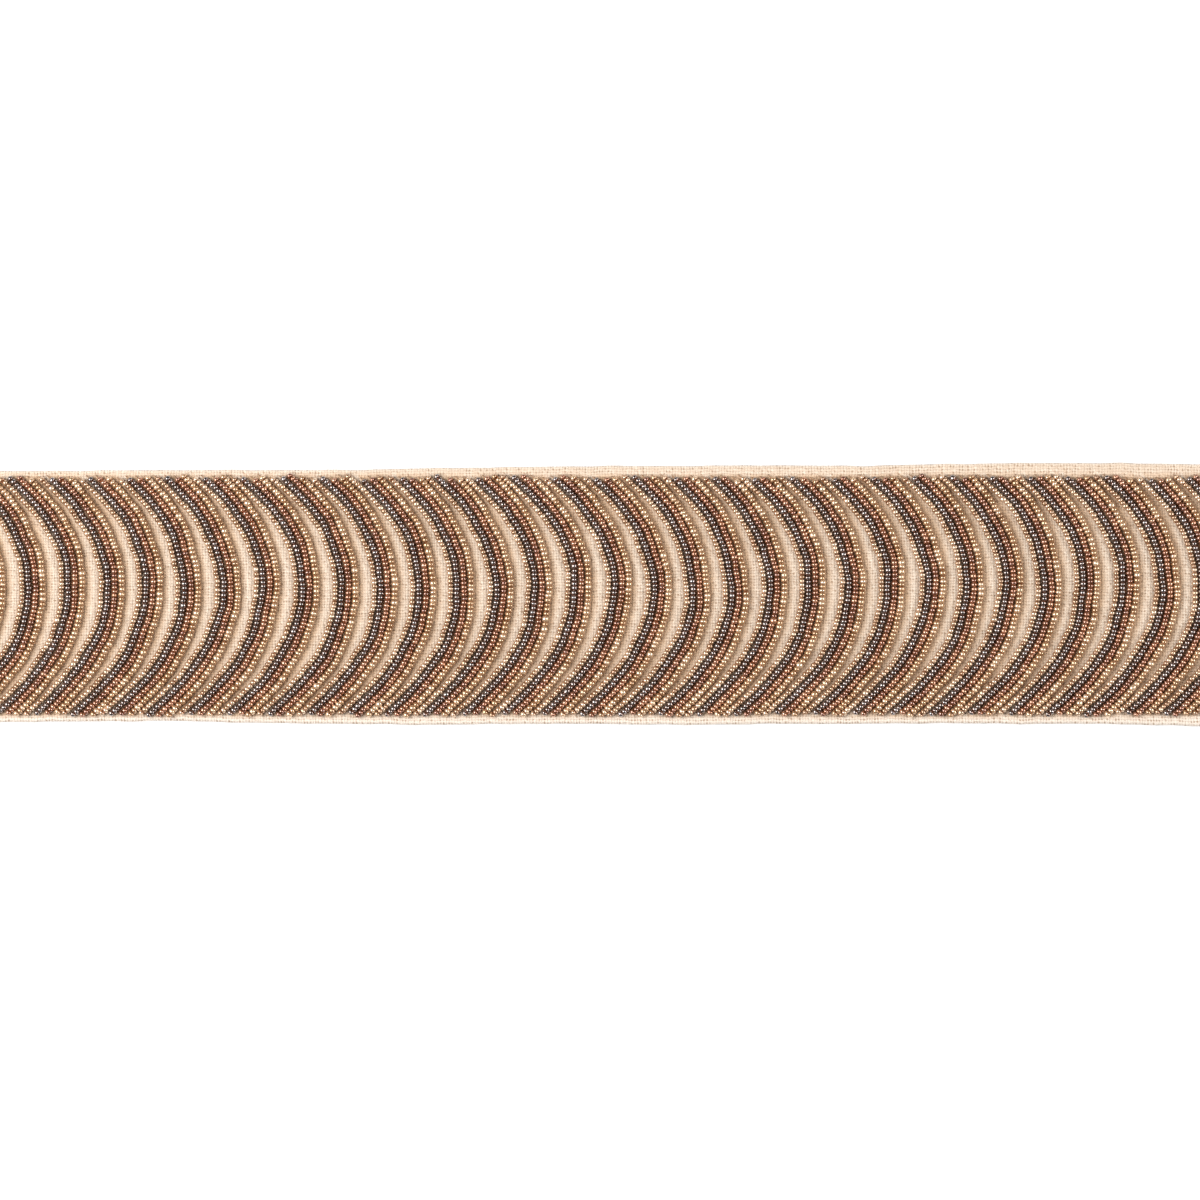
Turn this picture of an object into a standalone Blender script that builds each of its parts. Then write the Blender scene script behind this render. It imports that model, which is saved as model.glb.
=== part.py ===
"""Beaded tape trim: a straight length of linen tape with both long edges folded under, crossed
from hem to hem by nested curved bands, each of four rows of glass beads laid side by side.

The tape lies flat. X runs along it, Y across it, and Z up from the surface under it. A band is
one solid with a rounded ridge for each of its rows. Every band follows the same bow, which
bulges towards +X, and leans over so far near the hems that neighbouring bands almost touch.
"""

import math
from collections import namedtuple

import bmesh
import bpy
import numpy as np

MM = 0.001

# Tape
TAPE_LENGTH = 350 * MM
TAPE_TOP = 1.5 * MM
MIDDLE_THICKNESS = 1.05 * MM
HEM_WIDTH = 7.5 * MM
HEM_STEP = 0.4 * MM
FOLD_RADIUS = TAPE_TOP / 2
FOLD_STEPS = 4

# Distances of the two folded edges from the tape's centre line, which wander a little
Edges = namedtuple("Edges", "along upper lower")
EDGES = (
    Edges(-161 * MM, 33.5 * MM, 34.6 * MM),
    Edges(-115 * MM, 33.8 * MM, 34.3 * MM),
    Edges(-92 * MM, 33.8 * MM, 34.9 * MM),
    Edges(-69 * MM, 33.8 * MM, 35.1 * MM),
    Edges(-46 * MM, 34.3 * MM, 35.4 * MM),
    Edges(-23 * MM, 34.6 * MM, 35.1 * MM),
    Edges(0 * MM, 34.9 * MM, 35.1 * MM),
    Edges(23 * MM, 34.9 * MM, 35.4 * MM),
    Edges(46 * MM, 35.1 * MM, 35.1 * MM),
    Edges(69 * MM, 34.9 * MM, 35.1 * MM),
    Edges(92 * MM, 35.4 * MM, 34.9 * MM),
    Edges(115 * MM, 35.7 * MM, 35.1 * MM),
    Edges(138 * MM, 35.7 * MM, 35.1 * MM),
    Edges(161 * MM, 35.4 * MM, 35.7 * MM),
)

# Rows of one band, from its hollow side to its bulging side
Row = namedtuple("Row", "name offset bead colour roughness metallic")
ROWS = (
    Row("inner gold beads", -1.70 * MM, 1.60 * MM, (0.58, 0.37, 0.17), 0.28, 0.8),
    Row("gunmetal beads", 0.00 * MM, 1.75 * MM, (0.06, 0.05, 0.06), 0.22, 0.7),
    Row("copper beads", 1.77 * MM, 1.72 * MM, (0.26, 0.10, 0.05), 0.25, 0.8),
    Row("outer gold beads", 3.58 * MM, 1.85 * MM, (0.65, 0.40, 0.16), 0.28, 0.8),
)
OUTER_REACH = ROWS[-1].offset + ROWS[-1].bead / 2
BAND_WIDTH = OUTER_REACH - ROWS[0].offset + ROWS[0].bead / 2
LINEN = ("linen", (0.84, 0.75, 0.62), 0.85, 0.0)

# Bow of the gunmetal row: how far it falls back at a given distance from its apex
APEX_ACROSS = 1.76 * MM
BOW_REACH = 27.1 * MM
BOW_DROP = 12.25 * MM
BOW_POWER = 2.04

# Where the bands are, and the two slow waves that make their spacing a little uneven
FIRST_BAND = -155.2 * MM
BAND_PITCH = 10.6 * MM
BAND_NUMBERS = range(-3, 35)
Wave = namedtuple("Wave", "size turn start")
UNEVENNESS = (Wave(0.22 * MM, 0.85, 0.77), Wave(0.17 * MM, 0.20, 0.0))

# Where the beads stop: at the hems, and a little inside the cut ends
FIELD_TOP = 32.1 * MM
FIELD_BOTTOM = -32.8 * MM
CUT_MARGIN = 2.7 * MM
CUT_ALONG = TAPE_LENGTH / 2 - CUT_MARGIN
SHORTEST_RUN = 3 * MM
LEG_GAP = 0.4 * MM

# Shape of a band cut across, as shares of a bead's diameter
FOOT = 0.38
SHOULDER = 0.45
CREST = 0.95
VALLEY = 0.60

# Clearances between solids
SEAT_GAP = 0.3 * MM
BAND_GAP = 0.45 * MM

# Sections along a band, and the fine steps and the spare reach of a line before it is trimmed
BAND_STATIONS = 12
LEG_STATIONS = 8
LINE_POINTS = 1200
SPARE_REACH = 1.12
SHARP_ANGLE = math.radians(50)


def clear_scene():
    for thing in list(bpy.data.objects):
        bpy.data.objects.remove(thing)


def make_material(name, colour, roughness, metallic):
    material = bpy.data.materials.new(name)
    material.use_nodes = True
    shader = material.node_tree.nodes["Principled BSDF"]
    shader.inputs["Base Color"].default_value = (*colour, 1.0)
    shader.inputs["Roughness"].default_value = roughness
    shader.inputs["Metallic"].default_value = metallic
    return material


def make_body(name, sections, materials, strip_slots):
    """A closed body through equal closed sections, an array of (station, point, xyz): a strip
    of four-sided faces for each point of a section, and a face on the first and the last."""
    shape = bmesh.new()
    rings = [[shape.verts.new(point) for point in section] for section in sections]
    for here, after in zip(rings[:-1], rings[1:]):
        for i, slot in enumerate(strip_slots):
            j = (i + 1) % len(here)
            face = shape.faces.new((here[i], after[i], after[j], here[j]))
            face.material_index = slot
    shape.faces.new(rings[0])
    shape.faces.new(rings[-1][::-1])
    mesh = bpy.data.meshes.new(name)
    shape.to_mesh(mesh)
    shape.free()
    for material in materials:
        mesh.materials.append(material)
    mesh.shade_smooth()
    mesh.set_sharp_from_angle(angle=SHARP_ANGLE)
    body = bpy.data.objects.new(name, mesh)
    bpy.context.scene.collection.objects.link(body)
    return body


def half_round(centre_across, first_angle):
    """Points of a folded edge: half a circle of the fold radius, standing on Z = 0."""
    angles = first_angle - np.linspace(0, math.pi, FOLD_STEPS + 1)
    across = centre_across + FOLD_RADIUS * np.cos(angles)
    height = FOLD_RADIUS + FOLD_RADIUS * np.sin(angles)
    return np.stack([across, height], axis=1)


def tape_section(upper, lower):
    """The tape cut across: a half-round fold at each edge, the two hems resting on Z = 0, and
    the single layer between them raised off it."""
    underside = TAPE_TOP - MIDDLE_THICKNESS
    recess = np.array(
        [
            (upper - HEM_WIDTH, 0.0),
            (upper - HEM_WIDTH - HEM_STEP, underside),
            (-lower + HEM_WIDTH + HEM_STEP, underside),
            (-lower + HEM_WIDTH, 0.0),
        ]
    )
    upper_fold = half_round(upper - FOLD_RADIUS, math.pi / 2)
    lower_fold = half_round(-lower + FOLD_RADIUS, -math.pi / 2)
    return np.concatenate([upper_fold, recess, lower_fold])


def make_tape():
    along = np.array([-TAPE_LENGTH / 2, *(e.along for e in EDGES), TAPE_LENGTH / 2])
    known = [e.along for e in EDGES]
    upper = np.interp(along, known, [e.upper for e in EDGES])
    lower = np.interp(along, known, [e.lower for e in EDGES])
    flat = np.stack([tape_section(u, w) for u, w in zip(upper, lower)])
    place = np.broadcast_to(along[:, None, None], (*flat.shape[:2], 1))
    sections = np.concatenate([place, flat], axis=2)
    make_body("linen_tape", sections, [make_material(*LINEN)], [0] * flat.shape[1])


def band_place(number):
    """Where a band's apex is: evenly spaced, with the slight unevenness of hand work."""
    uneven = sum(w.size * math.sin(w.turn * number + w.start) for w in UNEVENNESS)
    return FIRST_BAND + BAND_PITCH * number + uneven


def row_line(number, offset):
    """A row's line, as fine (x, y) points from the lower hem to the upper: the band's bow,
    moved square to itself by the row's offset, which shrinks where the leaning bands have less
    room between their neighbours than a band is wide."""
    reach = np.linspace(FIELD_BOTTOM, FIELD_TOP, LINE_POINTS) * SPARE_REACH
    share = np.abs(reach) / BOW_REACH
    fall = BOW_DROP * share**BOW_POWER
    slope = np.sign(reach) * BOW_POWER * BOW_DROP / BOW_REACH * share ** (BOW_POWER - 1)
    length = np.sqrt(1 + slope**2)
    place = band_place(number)
    spacing = min(band_place(number + 1) - place, place - band_place(number - 1))
    room = spacing / length - BAND_GAP
    moved = offset * np.minimum(1.0, room / BAND_WIDTH)
    along = place - fall + moved / length
    across = APEX_ACROSS + reach + moved * slope / length
    return np.stack([along, across], axis=1)


def run_of(number, offset, span):
    """The stretch of a row's line inside a span across the tape, clear of both cut ends."""
    line = row_line(number, offset)
    lowest, highest = span
    inside = (line[:, 1] >= lowest) & (line[:, 1] <= highest) & (np.abs(line[:, 0]) <= CUT_ALONG)
    return line[inside]


def spaced(line, stations):
    """The same line with equal steps, so that every line of a band has as many points."""
    steps = np.linalg.norm(np.diff(line, axis=0), axis=1)
    along = np.concatenate([[0.0], np.cumsum(steps)])
    at = np.linspace(0.0, along[-1], stations)
    return np.stack([np.interp(at, along, line[:, axis]) for axis in range(2)], axis=1)


def rows_that_fit(number, span):
    """The rows of a band that run far enough inside a span across the tape."""
    fitting = []
    for row in ROWS:
        run = run_of(number, row.offset, span)
        if len(run) and np.ptp(run[:, 1]) >= SHORTEST_RUN:
            fitting.append(row)
    return fitting


def band_profile(rows):
    """A band cut across, as (offset, height, row) points: up its outer side, over a crest for
    each row with a valley between neighbours, and down its inner side to the flat underside."""
    base = TAPE_TOP + SEAT_GAP
    first, last = rows[0], rows[-1]
    points = [
        (last.offset + FOOT * last.bead, base, last),
        (last.offset + last.bead / 2, base + SHOULDER * last.bead, last),
    ]
    for row, inner in zip(rows[::-1], [*rows[-2::-1], None]):
        points.append((row.offset, base + CREST * row.bead, row))
        if inner is not None:
            valley = (row.offset + inner.offset) / 2
            points.append((valley, base + VALLEY * inner.bead, inner))
    points.append((first.offset - first.bead / 2, base + SHOULDER * first.bead, first))
    points.append((first.offset - FOOT * first.bead, base, first))
    return points


def make_stretch(name, number, span, stations, materials):
    """One solid for the stretch of a band inside a span across the tape."""
    profile = band_profile(rows_that_fit(number, span))
    lines = [spaced(run_of(number, offset, span), stations) for offset, _, _ in profile]
    flat = np.stack(lines, axis=1)
    heights = np.array([height for _, height, _ in profile])
    height = np.broadcast_to(heights[None, :, None], (*flat.shape[:2], 1))
    sections = np.concatenate([flat, height], axis=2)
    make_body(name, sections, materials, [ROWS.index(row) for _, _, row in profile])


def make_bands():
    """Every band that crosses the tape. One whose apex is cut away is left as two legs."""
    materials = [make_material(r.name, r.colour, r.roughness, r.metallic) for r in ROWS]
    whole = (FIELD_BOTTOM, FIELD_TOP)
    lower_leg = (FIELD_BOTTOM, APEX_ACROSS - LEG_GAP)
    upper_leg = (APEX_ACROSS + LEG_GAP, FIELD_TOP)
    made = 0
    for number in BAND_NUMBERS:
        if not rows_that_fit(number, whole):
            continue
        made += 1
        name = f"beaded_band_{made:02d}"
        if band_place(number) + OUTER_REACH < CUT_ALONG:
            make_stretch(name, number, whole, BAND_STATIONS, materials)
            continue
        for suffix, leg in (("_lower", lower_leg), ("_upper", upper_leg)):
            if rows_that_fit(number, leg):
                make_stretch(name + suffix, number, leg, LEG_STATIONS, materials)


clear_scene()
make_tape()
make_bands()
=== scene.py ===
import math
from collections import namedtuple

import bpy
import numpy as np
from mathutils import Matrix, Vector


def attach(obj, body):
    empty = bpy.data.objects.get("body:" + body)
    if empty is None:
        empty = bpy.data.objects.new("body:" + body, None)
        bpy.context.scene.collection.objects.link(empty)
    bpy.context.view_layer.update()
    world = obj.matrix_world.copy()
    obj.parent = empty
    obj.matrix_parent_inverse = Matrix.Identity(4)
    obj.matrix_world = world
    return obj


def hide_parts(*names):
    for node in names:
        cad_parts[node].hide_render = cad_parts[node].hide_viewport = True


# Beaded tape trim: a linen tape with folded hems, and curved bands of strung glass beads nested
# across it. Every bead, the threads that they are strung on, the couching threads under the
# tape, the hem stitches and the frayed threads of the cut ends are meshes worked out here.

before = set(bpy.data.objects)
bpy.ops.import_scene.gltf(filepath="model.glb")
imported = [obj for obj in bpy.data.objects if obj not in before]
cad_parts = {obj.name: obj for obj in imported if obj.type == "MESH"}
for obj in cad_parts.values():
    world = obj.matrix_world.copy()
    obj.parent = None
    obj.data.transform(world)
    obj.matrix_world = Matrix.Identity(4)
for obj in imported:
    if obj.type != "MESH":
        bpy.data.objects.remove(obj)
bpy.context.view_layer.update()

MM = 0.001
LUCK = np.random.default_rng(4107)

# Tape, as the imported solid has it
TAPE_LENGTH = 350 * MM
TAPE_TOP = 1.5 * MM
HEM_WIDTH = 7.5 * MM
FOLD_RADIUS = TAPE_TOP / 2
Edges = namedtuple("Edges", "along upper lower")
EDGES = (
    Edges(-161 * MM, 33.5 * MM, 34.6 * MM),
    Edges(-115 * MM, 33.8 * MM, 34.3 * MM),
    Edges(-92 * MM, 33.8 * MM, 34.9 * MM),
    Edges(-69 * MM, 33.8 * MM, 35.1 * MM),
    Edges(-46 * MM, 34.3 * MM, 35.4 * MM),
    Edges(-23 * MM, 34.6 * MM, 35.1 * MM),
    Edges(0 * MM, 34.9 * MM, 35.1 * MM),
    Edges(23 * MM, 34.9 * MM, 35.4 * MM),
    Edges(46 * MM, 35.1 * MM, 35.1 * MM),
    Edges(69 * MM, 34.9 * MM, 35.1 * MM),
    Edges(92 * MM, 35.4 * MM, 34.9 * MM),
    Edges(115 * MM, 35.7 * MM, 35.1 * MM),
    Edges(138 * MM, 35.7 * MM, 35.1 * MM),
    Edges(161 * MM, 35.4 * MM, 35.7 * MM),
)

# Bow of the gunmetal row, and where the bands are
APEX_ACROSS = 1.76 * MM
BOW_REACH = 27.1 * MM
BOW_DROP = 12.25 * MM
BOW_POWER = 2.04
FIRST_BAND = -155.2 * MM
BAND_PITCH = 10.6 * MM
BAND_NUMBERS = range(-3, 35)
Wave = namedtuple("Wave", "size turn start")
UNEVENNESS = (Wave(0.22 * MM, 0.85, 0.77), Wave(0.17 * MM, 0.20, 0.0))
FIELD_TOP = 32.1 * MM
FIELD_BOTTOM = -32.8 * MM
CUT_ALONG = TAPE_LENGTH / 2 - 2.7 * MM
SHORTEST_RUN = 3 * MM
LEG_GAP = 0.4 * MM
TOP_SWAY = 0.3 * MM
UPPER_PULL = 0.75 * MM
PULL_FROM = 16 * MM
PULL_OVER = 13 * MM
Wander = namedtuple("Wander", "half_waves lower upper")
WANDERS = (
    Wander(0, 0.05 * MM, 0.20 * MM),
    Wander(1, 0.05 * MM, -0.45 * MM),
    Wander(2, -0.20 * MM, 0.45 * MM),
    Wander(6, 0.20 * MM, 0.00 * MM),
)
WANDER_FROM = 2
WANDER_BANDS = 25
BAND_SWAYS = (0.15 * MM, 0.11 * MM, 0.07 * MM)
BAND_SWAY_LENGTHS = (38 * MM, 21 * MM, 12 * MM)
ROW_SWAYS = (0.06 * MM, 0.05 * MM)
ROW_SWAY_LENGTHS = (9 * MM, 5.3 * MM)
LINE_POINTS = 1200
SPARE_REACH = 1.12

# Rows of one band, from its hollow side to its bulging side: place across the band at its apex
# and near the hems, bead width, thread length for each bead, share of oversized beads, three
# colours of glass, how metallic and how rough it is, and the refraction of its lustre
Row = namedtuple("Row", "name slot offset lean bead pitch odd deep middle bright metal gloss lustre")
ROWS = (
    Row("inner_gold_beads", "gold_beads", -1.72 * MM, -1.78 * MM, 1.74 * MM, 1.06 * MM, 0.08,
        (0.37, 0.205, 0.10), (0.58, 0.375, 0.22), (0.82, 0.61, 0.42), 0.55, 0.13, 1.85),
    Row("gunmetal_beads", "gunmetal_beads", 0.00 * MM, 0.00 * MM, 1.82 * MM, 1.13 * MM, 0.03,
        (0.056, 0.033, 0.024), (0.110, 0.078, 0.062), (0.210, 0.178, 0.168), 0.85, 0.12, 2.3),
    Row("copper_beads", "copper_beads", 1.88 * MM, 1.76 * MM, 1.86 * MM, 1.08 * MM, 0.03,
        (0.19, 0.056, 0.020), (0.34, 0.125, 0.052), (0.56, 0.270, 0.145), 0.65, 0.13, 1.95),
    Row("outer_gold_beads", "gold_beads", 3.80 * MM, 3.56 * MM, 1.94 * MM, 1.145 * MM, 0.10,
        (0.40, 0.215, 0.09), (0.62, 0.385, 0.20), (0.86, 0.63, 0.41), 0.55, 0.13, 1.85),
)
# Warm brown painted shade for the faces where beads meet and the insides of their holes
PAINTED_SHADE_COLOUR = (0.36, 0.115, 0.032)
OUTER_REACH = ROWS[-1].offset + ROWS[-1].bead / 2

# Cloth
CLOTH_THICKNESS = 0.55 * MM
THREAD_PITCH = 0.787 * MM
STEP_ALONG = 0.6 * MM
STEP_ACROSS = 1.25 * MM
FOLD_STEPS = 6
TUCK_UNDER = 0.5 * MM
CLOTH_PUFF = 0.45 * MM
CLOTH_PRESSED = 0.08 * MM
STITCH_STEP = 4.6 * MM


# Layout


def band_place(number):
    """Where a band's apex is: evenly spaced, with the slight unevenness of hand work."""
    uneven = sum(w.size * np.sin(w.turn * number + w.start) for w in UNEVENNESS)
    return FIRST_BAND + BAND_PITCH * number + uneven


def bow_fall(reach):
    """How far the bow has fallen back at a distance from its apex: a power of that distance,
    and a little more near the upper hem, growing as a square."""
    bow = BOW_DROP * (np.abs(reach) / BOW_REACH) ** BOW_POWER
    upper = UPPER_PULL * np.clip((reach - PULL_FROM) / PULL_OVER, 0, None) ** 2
    return bow + upper


def bow_slope(reach):
    """The bow's slope there: the change of its fall over a short step."""
    step = 0.05 * MM
    return (bow_fall(reach + step) - bow_fall(reach - step)) / (2 * step)


def leaning(reach):
    """From 0 where a band runs straight across the tape to 1 where it leans on its neighbours."""
    share = np.clip((np.sqrt(1 + bow_slope(reach) ** 2) - 1.12) / 0.3, 0, 1)
    return share * share * (3 - 2 * share)


def wander(number, reach):
    """How far a band wanders from its place, together with its neighbours: cosines along the
    tape, whose sizes at the lower hem turn smoothly into those at the upper hem."""
    across = (reach - FIELD_BOTTOM + APEX_ACROSS) / (FIELD_TOP - FIELD_BOTTOM)
    share = (1 - np.cos(math.pi * np.clip(across, 0, 1))) / 2
    turn = math.pi * (number - WANDER_FROM) / WANDER_BANDS
    return sum(
        (w.lower + (w.upper - w.lower) * share) * np.cos(w.half_waves * turn) for w in WANDERS
    )


def row_offset(row, reach):
    """Distance of a row from the gunmetal row, which changes as the band leans over."""
    return row.offset + (row.lean - row.offset) * leaning(reach)


def slow_waves(along, sizes, lengths):
    """A smooth random sway: one sine for each size and wave length, with random starts."""
    starts = LUCK.uniform(0, 2 * math.pi, len(sizes))
    turns = 2 * math.pi * along[:, None] / np.array(lengths) + starts
    return (np.array(sizes) * np.sin(turns)).sum(axis=1)


def row_line(number, row, sway):
    """A row's line, as (x, y) points: the band's bow, moved square to itself by the row's
    offset and by a sway, which is less where the bands lean on each other."""
    reach = np.linspace(FIELD_BOTTOM, FIELD_TOP, LINE_POINTS) * SPARE_REACH
    slope = bow_slope(reach)
    length = np.sqrt(1 + slope**2)
    moved = row_offset(row, reach) + sway * (1 - 0.5 * leaning(reach)) + wander(number, reach)
    moved -= TOP_SWAY * np.sin(0.9 * number + 1.0) * np.clip(reach / FIELD_TOP, 0, None) ** 2
    along = band_place(number) - bow_fall(reach) + moved / length
    across = APEX_ACROSS + reach + moved * slope / length
    return np.stack([along, across], axis=1)


def measured(line):
    """Distance along a line at each of its points."""
    steps = np.linalg.norm(np.diff(line, axis=0), axis=1)
    return np.concatenate([[0.0], np.cumsum(steps)])


def point_at(line, along, distance):
    """Points and unit directions of a line at some distances along it."""
    points = np.stack([np.interp(distance, along, line[:, k]) for k in range(2)], axis=-1)
    ahead = np.stack([np.interp(distance + 0.3 * MM, along, line[:, k]) for k in range(2)], axis=-1)
    behind = np.stack([np.interp(distance - 0.3 * MM, along, line[:, k]) for k in range(2)], axis=-1)
    way = ahead - behind
    return points, way / np.linalg.norm(way, axis=-1, keepdims=True)


Run = namedtuple("Run", "row number line along")


def every_run():
    """Each stretch of each row: the whole of it, or two legs where its apex is cut away."""
    reach = np.linspace(FIELD_BOTTOM, FIELD_TOP, LINE_POINTS) * SPARE_REACH
    whole = ((FIELD_BOTTOM, FIELD_TOP),)
    legs = ((FIELD_BOTTOM, APEX_ACROSS - LEG_GAP), (APEX_ACROSS + LEG_GAP, FIELD_TOP))
    runs = []
    for number in BAND_NUMBERS:
        spans = whole if band_place(number) + OUTER_REACH < CUT_ALONG else legs
        band_sway = slow_waves(reach, BAND_SWAYS, BAND_SWAY_LENGTHS)
        for row in ROWS:
            row_sway = slow_waves(reach, ROW_SWAYS, ROW_SWAY_LENGTHS)
            line = row_line(number, row, band_sway + row_sway)
            for low, high in spans:
                low_end = low + LUCK.uniform(-0.25 * MM, 0.6 * MM)
                high_end = high + LUCK.uniform(-0.6 * MM, 0.35 * MM)
                inside = (line[:, 1] >= low_end) & (line[:, 1] <= high_end)
                inside &= np.abs(line[:, 0]) <= CUT_ALONG
                kept = line[inside]
                if len(kept) > 2 and np.ptp(kept[:, 1]) >= SHORTEST_RUN:
                    runs.append(Run(row, number, kept, measured(kept)))
    return runs


# Meshes


def build_mesh(name, points, face_sets, uv_sets=None, uv_name="OFBake"):
    """A mesh from an array of points and, for each kind of face, an array of its corners."""
    mesh = bpy.data.meshes.new(name)
    corners = np.concatenate([f.reshape(-1) for f in face_sets]).astype(np.int32)
    sizes = np.concatenate([np.full(len(f), f.shape[1]) for f in face_sets])
    starts = np.concatenate([[0], np.cumsum(sizes)[:-1]]).astype(np.int32)
    mesh.vertices.add(len(points))
    mesh.vertices.foreach_set("co", np.ascontiguousarray(points, np.float32).reshape(-1))
    mesh.loops.add(len(corners))
    mesh.loops.foreach_set("vertex_index", corners)
    mesh.polygons.add(len(sizes))
    mesh.polygons.foreach_set("loop_start", starts)
    mesh.polygons.foreach_set("use_smooth", np.ones(len(sizes), bool))
    if uv_sets is not None:
        layer = mesh.uv_layers.new(name=uv_name)
        flat = np.concatenate([u.reshape(-1) for u in uv_sets]).astype(np.float32)
        layer.uv.foreach_set("vector", flat)
    mesh.update(calc_edges=True)
    mesh.validate()
    thing = bpy.data.objects.new(name, mesh)
    bpy.context.scene.collection.objects.link(thing)
    return thing


def point_value(thing, name, values):
    """A number at each point of a mesh, for its material to read."""
    attribute = thing.data.attributes.new(name, "FLOAT", "POINT")
    attribute.data.foreach_set("value", np.ascontiguousarray(values, np.float32).reshape(-1))


def grid_faces(rows, columns, wrap_rows=False, wrap_columns=False):
    """Four-sided faces of a grid of points, as corner numbers."""
    i = np.arange(rows if wrap_rows else rows - 1)
    j = np.arange(columns if wrap_columns else columns - 1)
    i, j = np.meshgrid(i, j, indexing="ij")
    k, m = (i + 1) % rows, (j + 1) % columns
    corners = [i * columns + j, i * columns + m, k * columns + m, k * columns + j]
    return np.stack(corners, axis=-1).reshape(-1, 4)


# Beads

BEAD_SIDES = 8
# Place along the hole, from one face to the other, and radius, as shares of the bead's own
BEAD_PROFILE = np.array([(-1.0, 0.64), (-0.68, 0.91), (0.0, 1.0), (0.68, 0.91), (1.0, 0.64)])
HOLE_PROFILE = np.array([(0.88, 0.26), (-0.88, 0.26)])

Beads = namedtuple("Beads", "centre axis length width roll tone tipped")


def thread_beads(run):
    """The beads of one run: lengths that vary, laid end to end from its lower end, each turned
    a little out of line, and the first and last tipped towards the cloth."""
    row = run.row
    count = int(run.along[-1] / row.pitch * 1.4) + 4
    length = row.pitch * np.clip(LUCK.normal(1.0, 0.07, count), 0.78, 1.2)
    width = row.bead * np.clip(LUCK.normal(0.985, 0.035, count), 0.88, 1.07)
    odd = LUCK.random(count) < row.odd
    length[odd] *= LUCK.uniform(1.15, 1.38, odd.sum())
    width[odd] *= LUCK.uniform(1.0, 1.08, odd.sum())
    end = np.cumsum(length)
    kept = int(np.searchsorted(end, run.along[-1]))
    length, width, end = length[:kept], width[:kept], end[:kept]
    place = end - length / 2
    flat, way = point_at(run.line, run.along, place)
    turn = LUCK.normal(0, math.radians(5.5), kept)
    tip = LUCK.normal(0, math.radians(5.5), kept)
    roll = LUCK.uniform(0, 2 * math.pi, kept)
    tipped = np.zeros(kept, bool)
    tipped[[0, -1]] = True
    tip[0] = math.radians(LUCK.uniform(12, 38))
    tip[-1] = -math.radians(LUCK.uniform(12, 38))
    cos, sin = np.cos(turn), np.sin(turn)
    level = np.stack([way[:, 0] * cos - way[:, 1] * sin, way[:, 0] * sin + way[:, 1] * cos], axis=1)
    axis = np.concatenate([level * np.cos(tip)[:, None], np.sin(tip)[:, None]], axis=1)
    side = np.stack([-way[:, 1], way[:, 0]], axis=1)
    flat = flat + side * LUCK.normal(0, 0.045 * MM, kept)[:, None]
    height = TAPE_TOP - CLOTH_PRESSED + width / 2 + np.abs(LUCK.normal(0, 0.04 * MM, kept))
    centre = np.concatenate([flat, height[:, None]], axis=1)
    return Beads(centre, axis, length * 0.975, width, roll, LUCK.random(kept), tipped)


def joined_beads(parts):
    return Beads(*(np.concatenate(values) for values in zip(*parts)))


def bead_points(beads, profile):
    """Rings round each bead's axis: the profile gives each ring's place along the axis and its
    radius, and the points of a ring stand at equal angles. A bead is a little oval, and a
    little longer on one side, as two slow waves round it."""
    angle = (np.arange(BEAD_SIDES) + 0.5) * 2 * math.pi / BEAD_SIDES
    level = np.cross((0.0, 0.0, 1.0), beads.axis)
    level /= np.linalg.norm(level, axis=1, keepdims=True)
    upward = np.cross(beads.axis, level)
    around = (
        np.cos(angle)[None, :, None] * level[:, None, :]
        + np.sin(angle)[None, :, None] * upward[:, None, :]
    )
    turned = angle[None, :] + beads.roll[:, None]
    oval = (1 + 0.035 * np.cos(2 * turned))[:, None, :, None]
    wedge = (1 + 0.07 * np.cos(turned))[:, None, :, None]
    centre = beads.centre[:, None, None, :]
    lengthwise = profile[None, :, None, 0:1] * (beads.length / 2)[:, None, None, None] * wedge
    radius = profile[None, :, None, 1:2] * (beads.width / 2)[:, None, None, None] * oval
    return centre + lengthwise * beads.axis[:, None, None, :] + radius * around[:, None, :, :]


def bead_cells(count, total, first):
    """Lower corner and size of each bead's own square in the texture."""
    across = math.ceil(math.sqrt(total))
    which = np.arange(first, first + count)
    corner = np.stack([which % across, which // across], axis=1) / across
    return corner, 1.0 / across


def cell_uvs(corner, size, local):
    """Texture places: a pattern inside the unit square, moved into every bead's own cell."""
    return corner[:, None, None, :] + local[None, :, :, :] * size


def strip_pattern(rings, closed):
    """The rings of a bead unrolled: along the axis across the cell, round it up the cell."""
    strips = rings if closed else rings - 1
    i, j = np.meshgrid(np.arange(strips), np.arange(BEAD_SIDES), indexing="ij")
    i, j = i.reshape(-1), j.reshape(-1)
    low = 0.06 if closed else 0.34
    left, right = 0.06 + 0.88 * i / strips, 0.06 + 0.88 * (i + 1) / strips
    below = low + (0.94 - low) * j / BEAD_SIDES
    above = low + (0.94 - low) * (j + 1) / BEAD_SIDES
    corners = [(left, below), (left, above), (right, above), (right, below)]
    return np.stack([np.stack(c, axis=-1) for c in corners], axis=1)


def cap_pattern(centre_u, forward):
    angle = (np.arange(BEAD_SIDES) + 0.5) * 2 * math.pi / BEAD_SIDES
    angle = angle if forward else angle[::-1]
    ring = np.stack([centre_u + 0.12 * np.cos(angle), 0.17 + 0.12 * np.sin(angle)], axis=-1)
    return ring[None]


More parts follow.
